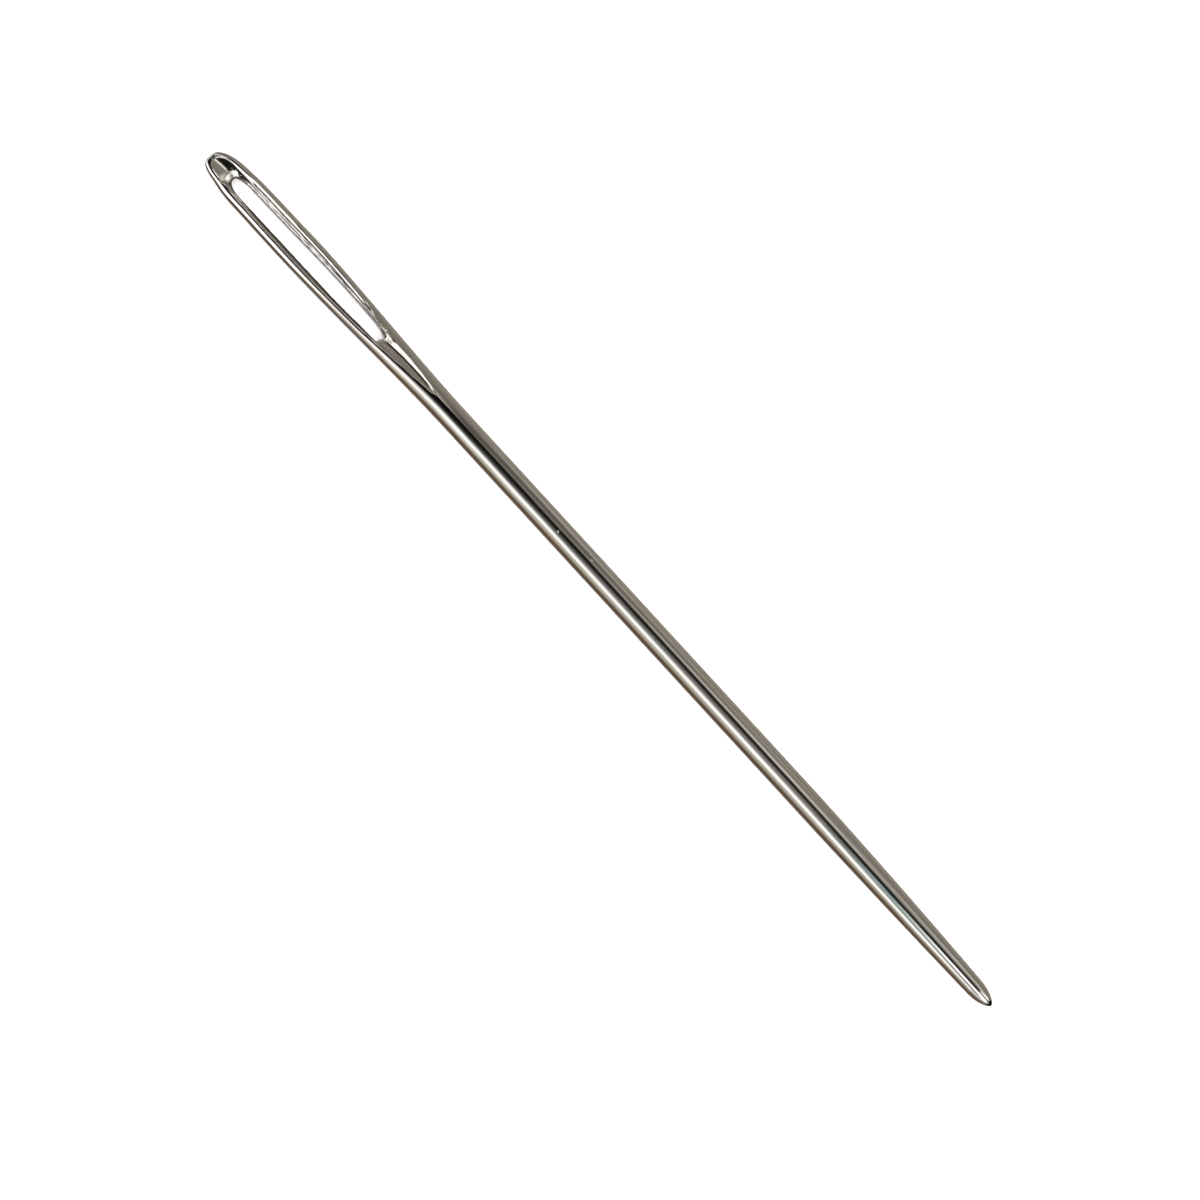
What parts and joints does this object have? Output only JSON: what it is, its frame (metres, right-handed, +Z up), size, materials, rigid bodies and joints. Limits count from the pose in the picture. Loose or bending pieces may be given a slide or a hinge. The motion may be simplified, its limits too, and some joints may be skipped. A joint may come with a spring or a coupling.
{
  "type": "yarn needle",
  "caption": "Straight steel yarn needle with a long slotted eye in a flattened, guttered head, a round shank and a gently tapered blunt point.",
  "frame": {"origin": "on the table under the middle of the needle's length, below the shank's axis", "axes": "+X along the needle towards its point, so that the eye lies towards -X; the eye's slot goes through along Z; +Z up from the table"},
  "size_m": [0.07, 0.0024, 0.0017],
  "materials": {
    "plated_steel": "polished bright plating on steel wire, faint lengthwise drawing marks"
  },
  "bodies": {
    "root": {"crown": "plated_steel", "eye_side_left": "plated_steel", "eye_side_right": "plated_steel", "throat": "plated_steel", "shank": "plated_steel", "point": "plated_steel"}
  },
  "joints": []
}
